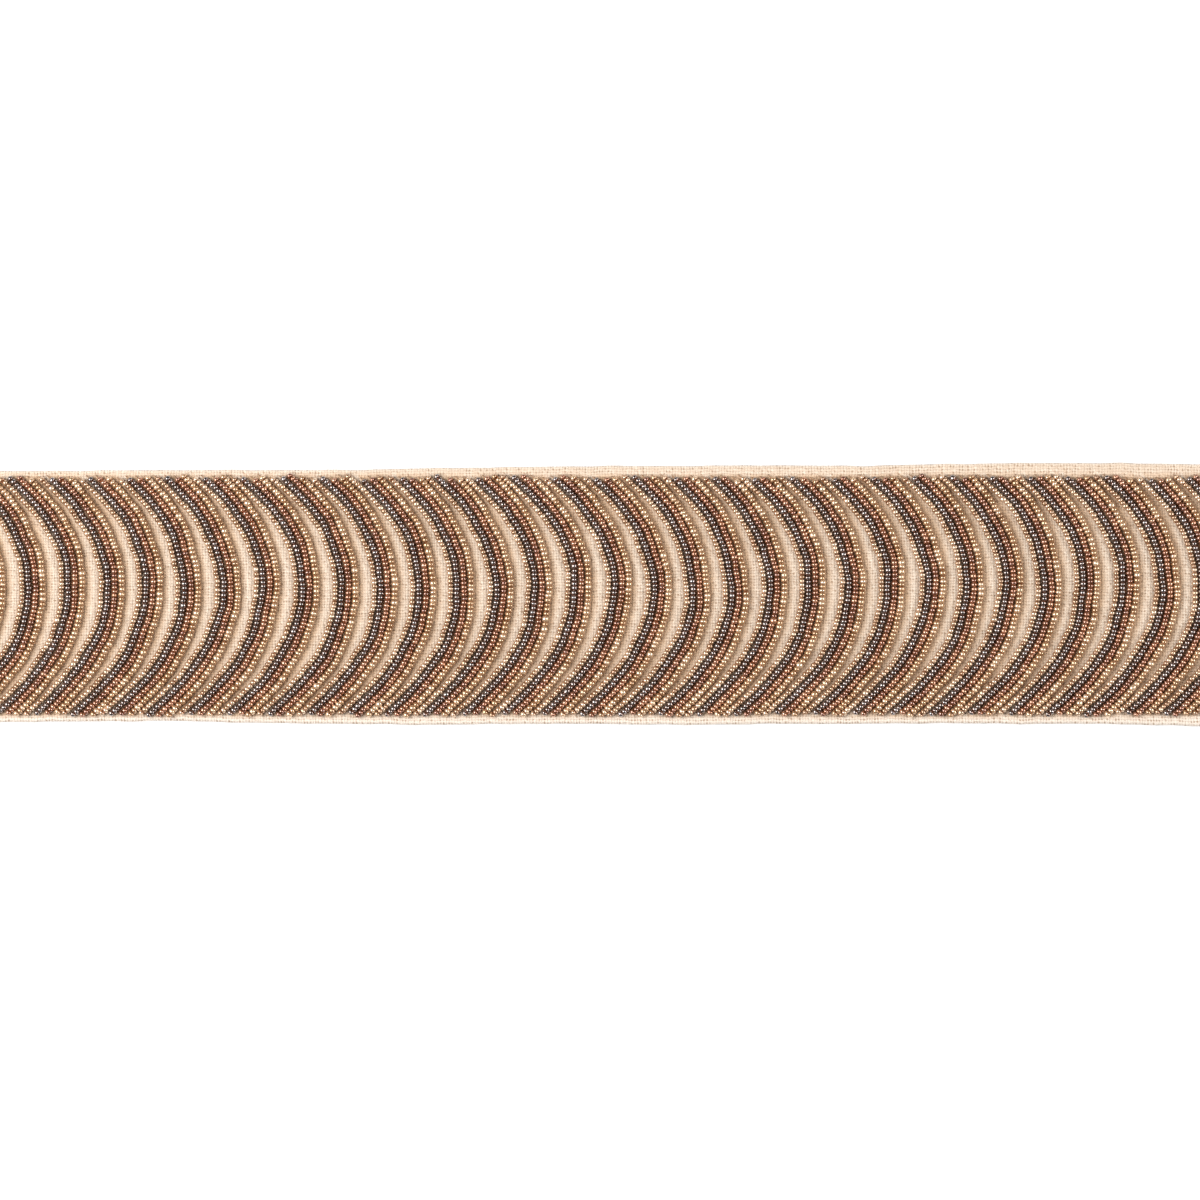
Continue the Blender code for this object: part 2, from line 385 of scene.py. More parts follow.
def make_beads(row, beads):
    """One mesh of all the beads of a colour. Plain beads have flat faces, and tipped ones,
    which show theirs, have a hole through them."""
    plain = Beads(*(v[~beads.tipped] for v in beads))
    tipped = Beads(*(v[beads.tipped] for v in beads))
    total = len(beads.length)
    rings = len(BEAD_PROFILE)
    plain_points = bead_points(plain, BEAD_PROFILE)
    drilled = np.concatenate([BEAD_PROFILE, HOLE_PROFILE])
    tipped_points = bead_points(tipped, drilled)

    base = np.arange(len(plain.length))[:, None, None] * rings * BEAD_SIDES
    strips = grid_faces(rings, BEAD_SIDES, wrap_columns=True)
    plain_faces = (base + strips[None]).reshape(-1, 4)
    ring_of = np.arange(BEAD_SIDES)
    near = (base[:, 0] + ring_of[None, ::-1]).reshape(-1, BEAD_SIDES)
    far = (base[:, 0] + (rings - 1) * BEAD_SIDES + ring_of[None]).reshape(-1, BEAD_SIDES)
    start = plain_points.shape[0] * rings * BEAD_SIDES
    base = start + np.arange(len(tipped.length))[:, None, None] * len(drilled) * BEAD_SIDES
    strips = grid_faces(len(drilled), BEAD_SIDES, wrap_rows=True, wrap_columns=True)
    tipped_faces = (base + strips[None]).reshape(-1, 4)

    corner, size = bead_cells(len(plain.length), total, 0)
    plain_uv = cell_uvs(corner, size, strip_pattern(rings, False)).reshape(-1, 4, 2)
    near_uv = cell_uvs(corner, size, cap_pattern(0.26, False)).reshape(-1, BEAD_SIDES, 2)
    far_uv = cell_uvs(corner, size, cap_pattern(0.74, True)).reshape(-1, BEAD_SIDES, 2)
    corner, size = bead_cells(len(tipped.length), total, len(plain.length))
    tipped_uv = cell_uvs(corner, size, strip_pattern(len(drilled), True)).reshape(-1, 4, 2)

    points = np.concatenate([plain_points.reshape(-1, 3), tipped_points.reshape(-1, 3)])
    thing = build_mesh(
        row.name,
        points,
        [plain_faces, near, far, tipped_faces],
        [plain_uv, near_uv, far_uv, tipped_uv],
    )
    tones = np.concatenate([
        np.repeat(plain.tone, rings * BEAD_SIDES),
        np.repeat(tipped.tone, len(drilled) * BEAD_SIDES),
    ])
    point_value(thing, "tone", tones)
    # Painted shade: a share at each ring that grows towards the faces by the neighbours, and is full inside a
    # tipped bead's hole
    groove = np.repeat(np.abs(BEAD_PROFILE[:, 0]) ** 3, BEAD_SIDES)
    drilled_shade = np.repeat(np.append(np.abs(BEAD_PROFILE[:, 0]) ** 3, (1.0, 1.0)), BEAD_SIDES)
    painted_shades = np.concatenate([
        np.tile(groove, len(plain.length)),
        np.tile(drilled_shade, len(tipped.length)),
    ])
    point_value(thing, "groove", painted_shades)
    return thing


# Cloth


def edge_at(along, side):
    """Distance of a folded edge from the centre line, with the slight waviness of a hem."""
    known = [e.along for e in EDGES]
    base = np.interp(along, known, [getattr(e, side) for e in EDGES])
    start = 0.0 if side == "upper" else 2.0
    wavy = 0.08 * MM * np.sin(along / (3.1 * MM) + start)
    wavy += 0.06 * MM * np.sin(along / (1.7 * MM) + 2 * start)
    return base + wavy * np.cos(along / (11 * MM) + start)


def cloth_section(upper, lower):
    """The middle of the cloth's thickness, cut across: lower hem, fold, face, fold and upper
    hem. Gives (column, point, yz) places, unit normals that point out of the face, and the
    distance along the section."""
    half = CLOTH_THICKNESS / 2
    top, bottom = TAPE_TOP - half, half
    radius = (top - bottom) / 2
    mid = (top + bottom) / 2
    hem_points = round((HEM_WIDTH - FOLD_RADIUS) / STEP_ACROSS)
    face_points = round(68.5 * MM / STEP_ACROSS)
    hem = np.linspace(0, 1, hem_points + 1)[:-1]
    turn = np.linspace(0, math.pi, FOLD_STEPS + 1)[:-1]
    face = np.linspace(0, 1, face_points + 1)[:-1]
    turn_end = np.linspace(0, math.pi, FOLD_STEPS + 1)[:-1]
    hem_end = np.linspace(0, 1, hem_points + 1)

    def across_columns(values):
        return np.broadcast_to(values, (len(upper), len(values)))

    low_fold = (-lower + FOLD_RADIUS)[:, None]
    high_fold = (upper - FOLD_RADIUS)[:, None]
    y = np.concatenate([
        (-lower + HEM_WIDTH)[:, None] * (1 - hem) + low_fold * hem,
        low_fold - radius * np.sin(turn),
        low_fold + (high_fold - low_fold) * face,
        high_fold + radius * np.sin(turn_end),
        high_fold * (1 - hem_end) + (upper - HEM_WIDTH)[:, None] * hem_end,
    ], axis=1)
    z = np.concatenate([
        np.full(len(hem), bottom),
        mid - radius * np.cos(turn),
        np.full(len(face), top),
        mid + radius * np.cos(turn_end),
        np.full(len(hem_end), bottom),
    ])
    ny = np.concatenate([
        np.zeros(len(hem)),
        -np.sin(turn),
        np.zeros(len(face)),
        np.sin(turn_end),
        np.zeros(len(hem_end)),
    ])
    nz = np.concatenate([
        np.full(len(hem), -1.0),
        -np.cos(turn),
        np.full(len(face), 1.0),
        np.cos(turn_end),
        np.full(len(hem_end), -1.0),
    ])
    places = np.stack([y, across_columns(z)], axis=-1)
    normals = np.stack([across_columns(ny), across_columns(nz)], axis=-1)
    steps = np.linalg.norm(np.diff(places.mean(axis=0), axis=0), axis=1)
    along = np.concatenate([[0.0], np.cumsum(steps)])
    return places, normals, along


def cloth_relief(x, y):
    """Height of the cloth's face above or below its plain level: pressed down under the bands,
    and puffed up between two bands as half a wave that leans towards the next band's inner
    row and tucks in under it, lower where a couching stitch pulls it.
    With it comes a share of painted shadow, from 0 on open cloth to 1 beside and under a band's outer row,
    and a little of it evenly on the hems."""
    reach = y - APEX_ACROSS
    length = np.sqrt(1 + bow_slope(reach) ** 2)
    straight = x + bow_fall(reach)
    straight -= wander((straight - FIRST_BAND) / BAND_PITCH, reach) * length
    numbers = np.arange(BAND_NUMBERS.start - 1, BAND_NUMBERS.stop + 1)
    places = band_place(numbers)
    after = np.clip(np.searchsorted(places, straight), 1, len(places) - 1)
    outer, inner = ROWS[-1], ROWS[0]
    past = (straight - places[after - 1]) / length - row_offset(outer, reach) - outer.bead / 2
    before = (places[after] - straight) / length + row_offset(inner, reach) - inner.bead / 2
    gap = np.maximum(past + before + TUCK_UNDER, 0.05 * MM)
    share = np.clip(past / gap, 0, 1)
    open_enough = np.clip((gap - TUCK_UNDER) / (3.2 * MM), 0, 1)
    stitch = 2 * math.pi * reach / STITCH_STEP + 2.4 * after
    pulled = 0.76 + 0.24 * np.cos(stitch + 1.4 * np.sin(reach / (7 * MM) + 1.7 * after))
    puff = CLOTH_PUFF * open_enough * pulled * np.sin(math.pi * share**1.7) ** 0.8
    in_field = np.clip((FIELD_TOP + 0.8 * MM - y) / (1.2 * MM), 0, 1)
    in_field *= np.clip((y - FIELD_BOTTOM + 0.8 * MM) / (1.2 * MM), 0, 1)
    # Painted shadow: full beside and under the outer row, fading out over the open cloth, and a little evenly
    # on the hems
    shadow_share = in_field * np.clip(1.15 - past / (1.6 * MM), 0, 1) + 0.15 * (1 - in_field)
    return in_field * (puff - CLOTH_PRESSED), shadow_share


def make_cloth():
    """The tape as one closed sheet: the section carried along X, once moved out along its
    normals by half the thickness and once in, and joined round the rim."""
    columns = round(TAPE_LENGTH / STEP_ALONG) + 1
    x = np.linspace(-TAPE_LENGTH / 2, TAPE_LENGTH / 2, columns)
    places, normals, along = cloth_section(edge_at(x, "upper"), edge_at(x, "lower"))
    count = places.shape[1]
    middle = np.concatenate([np.broadcast_to(x[:, None, None], (columns, count, 1)), places], axis=2)
    ragged = LUCK.uniform(-0.35 * MM, 0.1 * MM, (2, count))
    middle[0, :, 0] -= ragged[0]
    middle[-1, :, 0] += ragged[1]
    face = normals[:, :, 1] > 0.99
    relief, shadow_share = cloth_relief(middle[:, :, 0], middle[:, :, 1])
    middle[:, :, 2] += np.where(face, relief, 0.0)
    outward = np.concatenate([np.zeros((columns, count, 1)), normals], axis=2) * CLOTH_THICKNESS / 2
    outer, inner = middle + outward, middle - outward

    outer_faces = grid_faces(columns, count)[:, ::-1]
    inner_faces = grid_faces(columns, count) + columns * count
    ring = np.concatenate([
        np.arange(count),
        np.arange(1, columns) * count + count - 1,
        (columns - 1) * count + np.arange(count - 2, -1, -1),
        np.arange(columns - 2, 0, -1) * count,
    ])
    after = np.roll(ring, -1)
    rim = np.stack([ring, after, after + columns * count, ring + columns * count], axis=1)

    points = np.concatenate([outer.reshape(-1, 3), inner.reshape(-1, 3)])
    threads = np.stack(np.broadcast_arrays(x[:, None], along[None, :]), axis=-1)
    threads = threads.reshape(-1, 2) / THREAD_PITCH
    weave = np.concatenate([threads, threads])
    share = np.stack(np.broadcast_arrays(
        np.linspace(0, 1, columns)[:, None], (along / along[-1])[None, :]), axis=-1).reshape(-1, 2)
    faces = [outer_faces, inner_faces, rim]

    first_half = share[outer_faces].mean(axis=1)[:, 0] < 0.5
    outer_uv = share[outer_faces]
    outer_uv = np.where(
        first_half[:, None, None],
        outer_uv * (1.96, 0.35) + (0.01, 0.01),
        (outer_uv - (0.5, 0)) * (1.96, 0.35) + (0.01, 0.37),
    )
    inner_uv = share[inner_faces - columns * count] * (0.98, 0.20) + (0.01, 0.74)
    step = np.arange(len(ring)) / len(ring)
    rim_low, rim_high = 0.955, 0.985
    left, right = 0.01 + 0.98 * step, 0.01 + 0.98 * (step + 1 / len(ring))
    rim_uv = np.stack([
        np.stack([left, np.full_like(left, rim_low)], axis=-1),
        np.stack([right, np.full_like(left, rim_low)], axis=-1),
        np.stack([right, np.full_like(left, rim_high)], axis=-1),
        np.stack([left, np.full_like(left, rim_high)], axis=-1),
    ], axis=1)
    thing = build_mesh("linen_sheet", points, faces, [outer_uv, inner_uv, rim_uv])
    layer = thing.data.uv_layers.new(name="threads")
    corners = np.concatenate([f.reshape(-1) for f in faces])
    layer.uv.foreach_set("vector", weave[corners].astype(np.float32).reshape(-1))
    # Painted shadow share, kept on the cloth's face only
    rubbed = np.where(face, shadow_share, 0.0).reshape(-1)
    point_value(thing, "rubbed", np.concatenate([rubbed, rubbed]))
    # The lower hem is made paler in colour, from the field's lower edge outwards over a millimetre
    faded = np.clip((FIELD_BOTTOM - middle[:, :, 1]) / MM, 0, 1).reshape(-1)
    point_value(thing, "faded", np.concatenate([faded, faded]))
    return thing, (places[0], along)


# Threads


def tube_points(path, radius, sides=4):
    """Rings of points square to a path, given as (tube, station, xyz)."""
    way = np.gradient(path, axis=1)
    way /= np.linalg.norm(way, axis=2, keepdims=True)
    side = np.cross(way, (0.0, 0.0, 1.0))
    side /= np.maximum(np.linalg.norm(side, axis=2, keepdims=True), 1e-9)
    upward = np.cross(side, way)
    angle = (np.arange(sides) + 0.5) * 2 * math.pi / sides
    around = (
        np.cos(angle)[None, None, :, None] * side[:, :, None, :]
        + np.sin(angle)[None, None, :, None] * upward[:, :, None, :]
    )
    return path[:, :, None, :] + radius[..., None, None] * around


def make_tubes(name, path, radius, sides=4):
    """Threads as one mesh: a ring at each station of each path, and a face on both ends."""
    tubes, stations = path.shape[:2]
    radius = np.broadcast_to(np.asarray(radius, float), (tubes, stations))
    points = tube_points(path, radius, sides)
    base = np.arange(tubes)[:, None, None] * stations * sides
    walls = (base + grid_faces(stations, sides, wrap_columns=True)[None, :, ::-1]).reshape(-1, 4)
    ring = np.arange(sides)
    near = (base[:, 0] + ring[None]).reshape(-1, sides)
    far = (base[:, 0] + (stations - 1) * sides + ring[None, ::-1]).reshape(-1, sides)
    return build_mesh(name, points.reshape(-1, 3), [walls, near, far])


def strand_paths(runs, stations=40):
    """The thread through each run's beads, which goes down into the cloth at both ends."""
    paths = []
    for run in runs:
        total = run.along[-1]
        share = np.linspace(0, 1, stations - 4)
        flat, way = point_at(run.line, run.along, share * total)
        height = np.full(len(share), TAPE_TOP - CLOTH_PRESSED + run.row.bead / 2)
        low = np.stack([flat[0] - way[0] * d for d in (0.32 * MM, 0.22 * MM)])
        high = np.stack([flat[-1] + way[-1] * d for d in (0.22 * MM, 0.32 * MM)])
        line = np.concatenate([low, flat, high])
        dive = np.array([TAPE_TOP - 0.4 * MM, TAPE_TOP + 0.3 * MM])
        z = np.concatenate([dive, height, dive[::-1]])
        paths.append(np.concatenate([line, z[:, None]], axis=1))
    return np.stack(paths)


def couching_paths(runs, floats=15, steps=6):
    """The sewing thread under each run: it leaves the cloth at each couching stitch and floats
    to the next, as a row of shallow half waves."""
    paths = []
    for run in runs:
        share = np.linspace(0, 1, floats * steps + 1)
        flat, way = point_at(run.line, run.along, share * run.along[-1])
        side = np.stack([-way[:, 1], way[:, 0]], axis=1)
        astray = 0.35 * MM * np.sin(2 * math.pi * share * floats / 2 + LUCK.uniform(0, 6))
        flat = flat + side * astray[:, None]
        under = TAPE_TOP - CLOTH_PRESSED - CLOTH_THICKNESS
        z = under + 0.10 * MM - 0.30 * MM * np.abs(np.sin(math.pi * share * floats)) ** 0.6
        paths.append(np.concatenate([flat, z[:, None]], axis=1))
    return np.stack(paths)


def fray_paths(fibre_ends):
    """Loose threads of the cut ends: one for each thread of the weave, from just inside the
    cloth to a random length outside it, bent a little sideways and down."""
    places, along = fibre_ends
    threads = np.arange(0.5, along[-1] / THREAD_PITCH)
    y = np.interp(threads * THREAD_PITCH, along, places[:, 0])
    z = np.interp(threads * THREAD_PITCH, along, places[:, 1])
    share = np.linspace(0, 1, 6)
    paths = []
    for end in (-1, 1):
        reach = LUCK.gamma(2.2, 0.45 * MM, len(threads)) + 0.15 * MM
        reach = np.minimum(reach, 3.0 * MM)
        bend = LUCK.normal(0, 0.35, len(threads)) * reach
        drop = LUCK.uniform(-0.5, 0.2, len(threads)) * reach
        x = end * (TAPE_LENGTH / 2 - 0.6 * MM + (reach + 0.6 * MM)[:, None] * share)
        side = y[:, None] + bend[:, None] * share**2
        height = np.maximum(z[:, None] + drop[:, None] * share**2, 0.12 * MM)
        paths.append(np.stack([x, side, height], axis=-1))
    return np.concatenate(paths)


def hem_stitch_paths():
    """Running stitches along both hems, on their underside: each a short low arch of thread."""
    step, length = 5.2 * MM, 3.0 * MM
    starts = np.arange(-TAPE_LENGTH / 2 + 3 * MM, TAPE_LENGTH / 2 - 6 * MM, step)
    share = np.linspace(0, 1, 6)
    paths = []
    for side in ("lower", "upper"):
        x = starts[:, None] + length * share
        sign = 1 if side == "upper" else -1
        y = sign * (edge_at(x.reshape(-1), side).reshape(x.shape) - HEM_WIDTH + 1.1 * MM)
        y = y + LUCK.normal(0, 0.12 * MM, len(starts))[:, None]
        z = 0.20 * MM - 0.06 * MM * np.sin(math.pi * share) ** 0.5
        paths.append(np.stack([x, y, np.broadcast_to(z, x.shape)], axis=-1))
    return np.concatenate(paths)


# Materials


def add_node(tree, kind, **settings):
    """A node, with its properties set and its plain inputs given by socket name."""
    node = tree.nodes.new(kind)
    for key, value in settings.items():
        if key == "values":
            for socket, plain in value.items():
                node.inputs[socket].default_value = plain
        else:
            setattr(node, key, value)
    return node


def calculate(tree, operation, first, second=None):
    """A Math node on sockets or plain numbers, giving its output."""
    node = tree.nodes.new("ShaderNodeMath")
    node.operation = operation
    for socket, value in zip(node.inputs, (first, second)):
        if value is None:
            continue
        if isinstance(value, (int, float)):
            socket.default_value = value
        else:
            tree.links.new(value, socket)
    return node.outputs[0]


def clamped(tree, value):
    """A value held between 0 and 1."""
    return calculate(tree, "MINIMUM", calculate(tree, "MAXIMUM", value, 0.0), 1.0)


def ridge(tree, place):
    """The rounded back of each thread: the size of a sine with half a wave for each thread."""
    return calculate(tree, "ABSOLUTE", calculate(tree, "SINE", calculate(tree, "MULTIPLY", place, math.pi)))


def over_and_under(tree, own, other):
    """A thread's height: its own ridge, which dips where the other set of threads crosses it."""
    dip = calculate(tree, "ADD", 0.45, calculate(tree, "MULTIPLY", other, 0.55))
    return calculate(tree, "MULTIPLY", calculate(tree, "POWER", own, 0.6), dip)


def by_turns(tree, warp, odd, weft, even):
    """The warp's value on odd cells and the weft's on even ones."""
    warp_part = calculate(tree, "MULTIPLY", warp, odd)
    return calculate(tree, "ADD", warp_part, calculate(tree, "MULTIPLY", weft, even))


def mixed(tree, factor, first, second, blend="MIX"):
    """A colour Mix node on sockets or plain colours, giving its output."""
    node = tree.nodes.new("ShaderNodeMix")
    node.data_type = "RGBA"
    node.blend_type = blend
    for index, value in ((0, factor), (6, first), (7, second)):
        if isinstance(value, (int, float)):
            node.inputs[index].default_value = value
        elif isinstance(value, tuple):
            node.inputs[index].default_value = (*value, 1.0)
        else:
            tree.links.new(value, node.inputs[index])
    return node.outputs[2]


def new_group(name, inputs, outputs):
    """An empty shader node group with named sockets, and its input and output nodes."""
    group = bpy.data.node_groups.new(name, "ShaderNodeTree")
    for socket, kind, value in inputs:
        made = group.interface.new_socket(name=socket, in_out="INPUT", socket_type=kind)
        if value is not None:
            made.default_value = value
    for socket, kind in outputs:
        group.interface.new_socket(name=socket, in_out="OUTPUT", socket_type=kind)
    return group, group.nodes.new("NodeGroupInput"), group.nodes.new("NodeGroupOutput")


def use_group(tree, group, links=None, values=None):
    """The group placed in a material, with some inputs linked and some given as plain values."""
    node = tree.nodes.new("ShaderNodeGroup")
    node.node_tree = group
    for socket, value in (values or {}).items():
        node.inputs[socket].default_value = value
    for socket, source in (links or {}).items():
        tree.links.new(source, node.inputs[socket])
    return node


def weave_group():
    """Plain weave in thread units: warp and weft take turns on top, cell by cell. Height is the rounded back
    of the thread on top, which dips where it goes under. Gap Shade is painted shade at the points between
    four threads, and Tone is a value that differs from thread to thread."""
    group, given, result = new_group(
        "plain weave",
        [("Threads", "NodeSocketVector", None), ("Wander", "NodeSocketFloat", 0.2)],
        [("Height", "NodeSocketFloat"), ("Gap Shade", "NodeSocketFloat"), ("Tone", "NodeSocketFloat")],
    )
    links = group.links
    drift = add_node(
        group, "ShaderNodeTexNoise", noise_dimensions="2D", values={"Scale": 0.35, "Detail": 2.0}
    )
    links.new(given.outputs["Threads"], drift.inputs["Vector"])
    centred = group.nodes.new("ShaderNodeVectorMath")
    centred.operation = "SUBTRACT"
    centred.inputs[1].default_value = (0.5, 0.5, 0.5)
    links.new(drift.outputs["Color"], centred.inputs[0])
    scaled = group.nodes.new("ShaderNodeVectorMath")
    scaled.operation = "SCALE"
    links.new(centred.outputs[0], scaled.inputs[0])
    links.new(given.outputs["Wander"], scaled.inputs["Scale"])
    moved = group.nodes.new("ShaderNodeVectorMath")
    moved.operation = "ADD"
    links.new(given.outputs["Threads"], moved.inputs[0])
    links.new(scaled.outputs[0], moved.inputs[1])
    parts = group.nodes.new("ShaderNodeSeparateXYZ")
    links.new(moved.outputs[0], parts.inputs[0])
    u, v = parts.outputs[0], parts.outputs[1]
    ridge_u, ridge_v = ridge(group, u), ridge(group, v)
    cells = calculate(group, "ADD", calculate(group, "FLOOR", u), calculate(group, "FLOOR", v))
    odd = calculate(group, "ABSOLUTE", calculate(group, "MODULO", cells, 2.0))
    even = calculate(group, "SUBTRACT", 1.0, odd)
    warp = over_and_under(group, ridge_u, ridge_v)
    weft = over_and_under(group, ridge_v, ridge_u)
    height = by_turns(group, warp, odd, weft, even)
    corner_u = calculate(group, "SUBTRACT", 1.0, ridge_u)
    corner_v = calculate(group, "SUBTRACT", 1.0, ridge_v)
    cell = add_node(group, "ShaderNodeCombineXYZ")
    links.new(calculate(group, "ROUND", u), cell.inputs[0])
    links.new(calculate(group, "ROUND", v), cell.inputs[1])
    chance = add_node(group, "ShaderNodeTexWhiteNoise", noise_dimensions="2D")
    links.new(cell.outputs[0], chance.inputs["Vector"])
    rare = calculate(group, "POWER", chance.outputs[0], 2.0)
    depth = calculate(group, "ADD", 0.35, calculate(group, "MULTIPLY", rare, 1.3))
    # Painted shade in the gaps between four threads, deeper at random from gap to gap
    corner = calculate(group, "POWER", calculate(group, "MULTIPLY", corner_u, corner_v), 0.5)
    gap_shade = calculate(group, "MINIMUM", calculate(group, "MULTIPLY", corner, depth), 1.0)
    across = add_node(group, "ShaderNodeCombineXYZ")
    links.new(calculate(group, "MULTIPLY", u, 0.06), across.inputs[0])
    links.new(calculate(group, "FLOOR", v), across.inputs[1])
    down = add_node(group, "ShaderNodeCombineXYZ")
    links.new(calculate(group, "FLOOR", u), down.inputs[0])
    links.new(calculate(group, "MULTIPLY", v, 0.06), down.inputs[1])
    slub = {"noise_dimensions": "2D", "values": {"Scale": 0.8, "Detail": 1.0}}
    slub_weft = add_node(group, "ShaderNodeTexNoise", **slub)
    slub_warp = add_node(group, "ShaderNodeTexNoise", **slub)
    links.new(across.outputs[0], slub_weft.inputs["Vector"])
    links.new(down.outputs[0], slub_warp.inputs["Vector"])
    tone = by_turns(group, slub_warp.outputs[0], odd, slub_weft.outputs[0], even)
    links.new(height, result.inputs["Height"])
    links.new(gap_shade, result.inputs["Gap Shade"])
    crossing = add_node(group, "ShaderNodeCombineXYZ")
    links.new(calculate(group, "FLOOR", u), crossing.inputs[0])
    links.new(calculate(group, "FLOOR", v), crossing.inputs[1])
    speck = add_node(group, "ShaderNodeTexWhiteNoise", noise_dimensions="2D")
    links.new(crossing.outputs[0], speck.inputs["Vector"])
    around = calculate(group, "SUBTRACT", speck.outputs[0], 0.5)
    speckled = calculate(group, "ADD", tone, calculate(group, "MULTIPLY", around, 0.7))
    links.new(clamped(group, speckled), result.inputs["Tone"])
    return group


def bead_finish_group():
    """Colour of a lined glass bead: each bead's own tone picks a place between three colours, slow blotches
    move it a little, and painted shade darkens the faces by its neighbours and the inside of its hole towards
    a warm brown."""
    group, given, result = new_group(
        "bead finish",
        [
            ("Place", "NodeSocketVector", None),
            ("Tone", "NodeSocketFloat", 0.5),
            ("Painted Shade", "NodeSocketFloat", 0.0),
            ("Deep", "NodeSocketColor", None),
            ("Middle", "NodeSocketColor", None),
            ("Bright", "NodeSocketColor", None),
            ("Gloss", "NodeSocketFloat", 0.3),
        ],
        [("Colour", "NodeSocketColor"), ("Roughness", "NodeSocketFloat"), ("Height", "NodeSocketFloat")],
    )
    links = group.links
    blotch = add_node(group, "ShaderNodeTexNoise", values={"Scale": 900.0, "Detail": 2.0, "Roughness": 0.6})
    links.new(given.outputs["Place"], blotch.inputs["Vector"])
    around = calculate(group, "SUBTRACT", blotch.outputs[0], 0.5)
    moved = calculate(group, "ADD", given.outputs["Tone"], calculate(group, "MULTIPLY", around, 0.5))
    low = calculate(group, "MULTIPLY", moved, 2.0)
    high = calculate(group, "SUBTRACT", low, 1.0)
    first = mixed(group, clamped(group, low), given.outputs["Deep"], given.outputs["Middle"])
    second = mixed(group, clamped(group, high), first, given.outputs["Bright"])
    # Painted shade: the faces by the neighbours and inside the hole mixed towards a warm brown
    groove = calculate(group, "MULTIPLY", given.outputs["Painted Shade"], 0.6)
    shaded = mixed(group, groove, second, PAINTED_SHADE_COLOUR)
    worn = calculate(group, "FRACT", calculate(group, "MULTIPLY", given.outputs["Tone"], 13.7))
    worn_part = calculate(group, "MULTIPLY", worn, 0.14)
    uneven = calculate(group, "ADD", worn_part, calculate(group, "MULTIPLY", blotch.outputs[0], 0.08))
    rough = calculate(group, "ADD", given.outputs["Gloss"], calculate(group, "SUBTRACT", uneven, 0.09))
    links.new(shaded, result.inputs["Colour"])
    links.new(rough, result.inputs["Roughness"])
    links.new(blotch.outputs[0], result.inputs["Height"])
    return group


def new_material(name):
    material = bpy.data.materials.new(name)
    material.use_nodes = True
    return material, material.node_tree, material.node_tree.nodes["Principled BSDF"]


def add_bump(tree, shader, height, strength, distance):
    bump = add_node(tree, "ShaderNodeBump", values={"Strength": strength, "Distance": distance})
    tree.links.new(height, bump.inputs["Height"])
    tree.links.new(bump.outputs[0], shader.inputs["Normal"])


def bead_material(row, group):
    material, tree, shader = new_material(row.name.replace("_", " "))
    place = add_node(tree, "ShaderNodeTexCoord")
    # The painted shade share of each point
    tone = add_node(tree, "ShaderNodeAttribute", attribute_name="tone")
    groove = add_node(tree, "ShaderNodeAttribute", attribute_name="groove")
    finish = use_group(
        tree,
        group,
        {
            "Place": place.outputs["Object"],
            "Tone": tone.outputs["Fac"],
            "Painted Shade": groove.outputs["Fac"],
        },
        {
            "Deep": (*row.deep, 1),
            "Middle": (*row.middle, 1),
            "Bright": (*row.bright, 1),
            "Gloss": row.gloss,
        },
    )
    tree.links.new(finish.outputs["Colour"], shader.inputs["Base Color"])
    tree.links.new(finish.outputs["Roughness"], shader.inputs["Roughness"])
    shader.inputs["Metallic"].default_value = row.metal
    shader.inputs["Coat Weight"].default_value = 1.0
    shader.inputs["Coat Roughness"].default_value = 0.05
    shader.inputs["Coat IOR"].default_value = row.lustre
    add_bump(tree, shader, finish.outputs["Height"], 0.14, 0.06 * MM)
    return material


